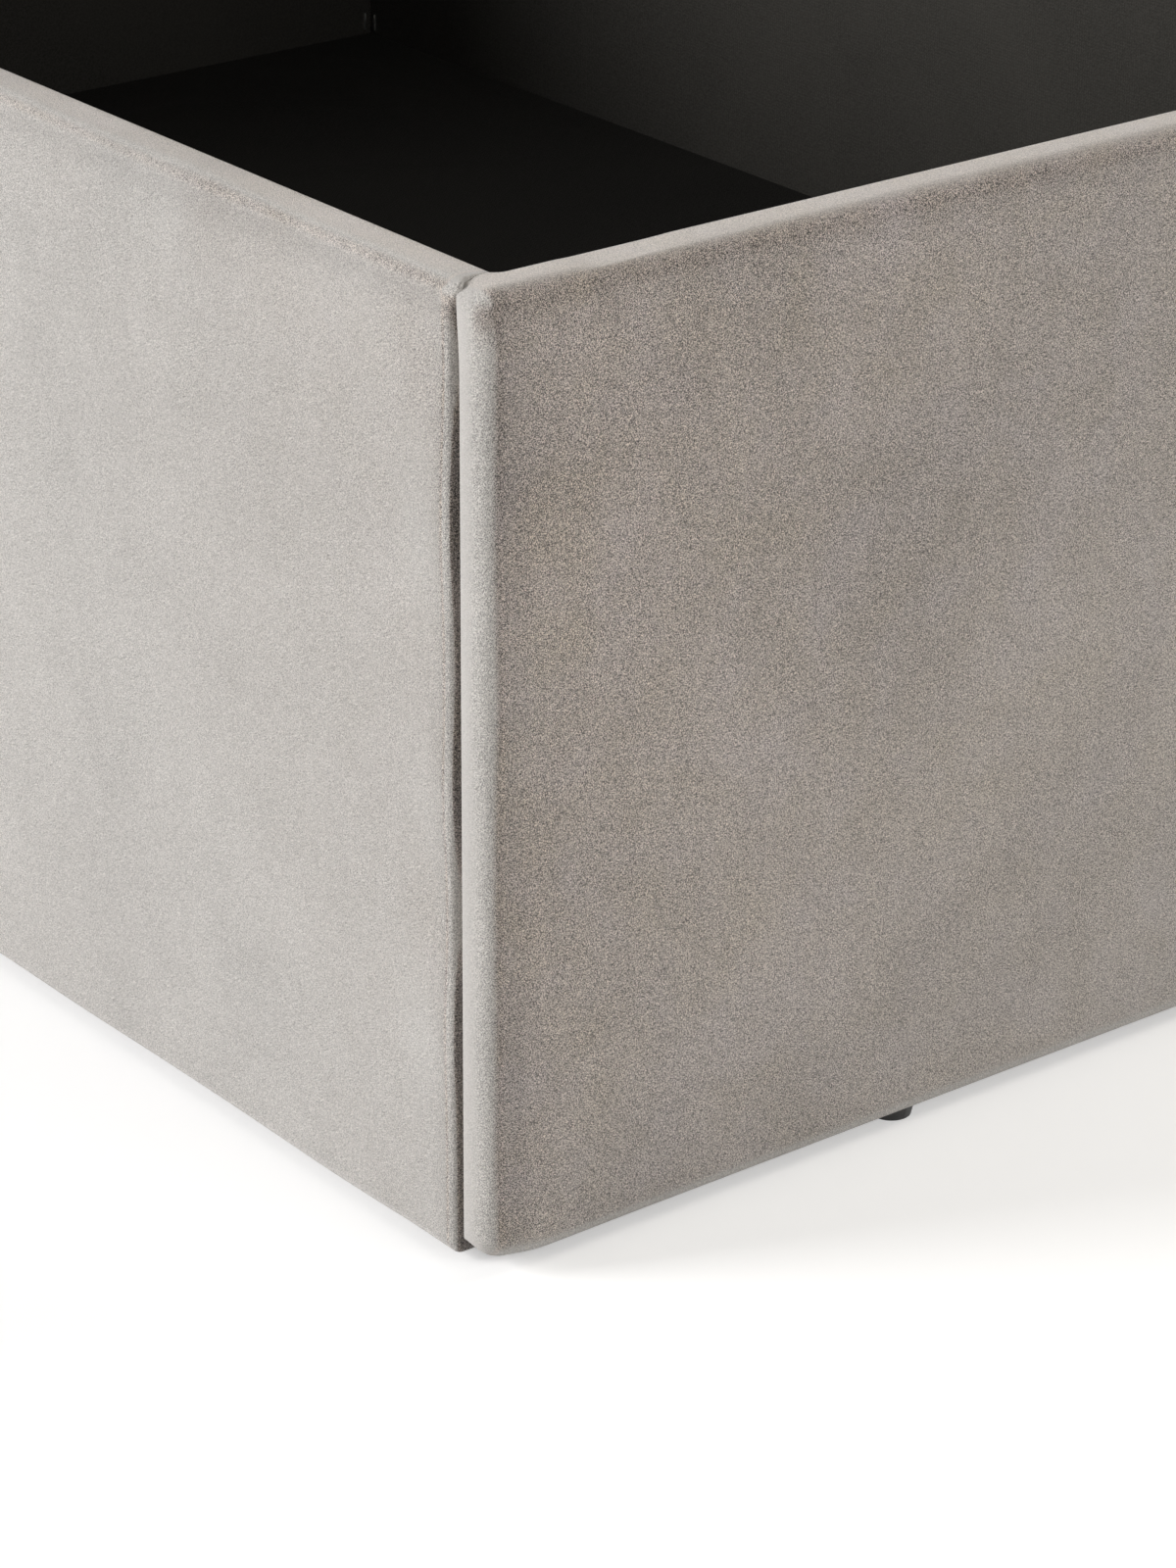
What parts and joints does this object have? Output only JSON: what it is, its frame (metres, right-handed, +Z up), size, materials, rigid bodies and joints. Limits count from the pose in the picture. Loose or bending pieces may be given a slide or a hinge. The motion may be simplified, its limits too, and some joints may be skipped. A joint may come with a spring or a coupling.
{
  "type": "storage ottoman",
  "caption": "Large velvet-upholstered storage ottoman with rolled edges, a black-lined open box on low glides and a padded lid held up by gas struts.",
  "frame": {"origin": "on the floor under the middle of the box's footprint", "axes": "+Z up, X along the long side, -Y out of the front face, lid hinge along the back at +Y"},
  "size_m": [1.2, 0.9011, 1.1921],
  "materials": {
    "velvet": "matte",
    "lining_cloth": "matte",
    "foam": "matte",
    "plywood": "matte",
    "softwood": "matte",
    "fibreboard": "matte",
    "black_plastic": "matte",
    "bumper_rubber": "matte",
    "webbing": "matte",
    "black_enamel": "satin",
    "chromed_rod": "polished",
    "strut_fittings": "satin",
    "zinc_steel": "satin"
  },
  "bodies": {
    "base": {"back_batten": "softwood", "back_board": "plywood", "back_cover": "velvet", "back_lining": "lining_cloth", "back_padding": "foam", "batten_screws": "zinc_steel", "centre_rail": "softwood", "corner_bolts": "black_enamel", "corner_brackets": "black_enamel", "floor_lining": "lining_cloth", "floor_panel_left": "fibreboard", "floor_panel_right": "fibreboard", "front_batten": "softwood", "front_board": "plywood", "front_cover": "velvet", "front_lining": "lining_cloth", "front_padding": "foam", "glides": "black_plastic", "hinge_base_screws": "zinc_steel", "hinge_pins": "zinc_steel", "left_batten": "softwood", "left_board": "plywood", "left_cover": "velvet", "left_hinge_base_leaf": "zinc_steel", "left_lining": "lining_cloth", "left_padding": "foam", "left_strut_base_bracket": "zinc_steel", "middle_hinge_base_leaf": "zinc_steel", "right_batten": "softwood", "right_board": "plywood", "right_cover": "velvet", "right_hinge_base_leaf": "zinc_steel", "right_lining": "lining_cloth", "right_padding": "foam", "right_strut_base_bracket": "zinc_steel", "strut_base_screws": "zinc_steel"},
    "lid": {"hinge_lid_screws": "zinc_steel", "left_hinge_lid_leaf": "zinc_steel", "left_strut_lid_bracket": "zinc_steel", "lid_board": "plywood", "lid_bumpers": "bumper_rubber", "lid_cover": "velvet", "lid_foam": "foam", "lid_lining": "lining_cloth", "lid_pull_tab": "webbing", "middle_hinge_lid_leaf": "zinc_steel", "right_hinge_lid_leaf": "zinc_steel", "right_strut_lid_bracket": "zinc_steel", "strut_lid_screws": "zinc_steel"},
    "left_strut_cylinder": {"left_strut_tube": "black_enamel", "left_strut_base_eye": "strut_fittings", "left_strut_gland": "strut_fittings"},
    "left_strut_piston": {"left_strut_rod": "chromed_rod", "left_strut_rod_end": "strut_fittings"},
    "right_strut_cylinder": {"right_strut_tube": "black_enamel", "right_strut_base_eye": "strut_fittings", "right_strut_gland": "strut_fittings"},
    "right_strut_piston": {"right_strut_rod": "chromed_rod", "right_strut_rod_end": "strut_fittings"}
  },
  "joints": [
    {"name": "lid_hinge", "type": "hinge", "parent": "base", "child": "lid", "pos_m": [0, 0.4175, 0.349], "axis": [-1, 0, 0], "range_deg": [-80, 0], "stiffness_Nm_per_rad": 14, "springref_deg": 68.75},
    {"name": "left_strut_swing", "type": "hinge", "parent": "base", "child": "left_strut_cylinder", "pos_m": [-0.5637, 0.376, 0.316], "axis": [-1, 0, 0], "range_deg": [-81.74, 0]},
    {"name": "left_strut_slide", "type": "slide", "parent": "left_strut_cylinder", "child": "left_strut_piston", "axis": [0, -0.1157, 0.9933], "range_m": [-0.06733, 0]},
    {"name": "right_strut_swing", "type": "hinge", "parent": "base", "child": "right_strut_cylinder", "pos_m": [0.5637, 0.376, 0.316], "axis": [-1, 0, 0], "range_deg": [-81.74, 0]},
    {"name": "right_strut_slide", "type": "slide", "parent": "right_strut_cylinder", "child": "right_strut_piston", "axis": [0, -0.1157, 0.9933], "range_m": [-0.06733, 0]}
  ],
  "couplings": [
    {"joint": "left_strut_swing", "follows": "lid_hinge", "ratio": 1.0217},
    {"joint": "left_strut_slide", "follows": "lid_hinge", "m_per_rad": 0.04822},
    {"joint": "right_strut_swing", "follows": "lid_hinge", "ratio": 1.0217},
    {"joint": "right_strut_slide", "follows": "lid_hinge", "m_per_rad": 0.04822}
  ]
}
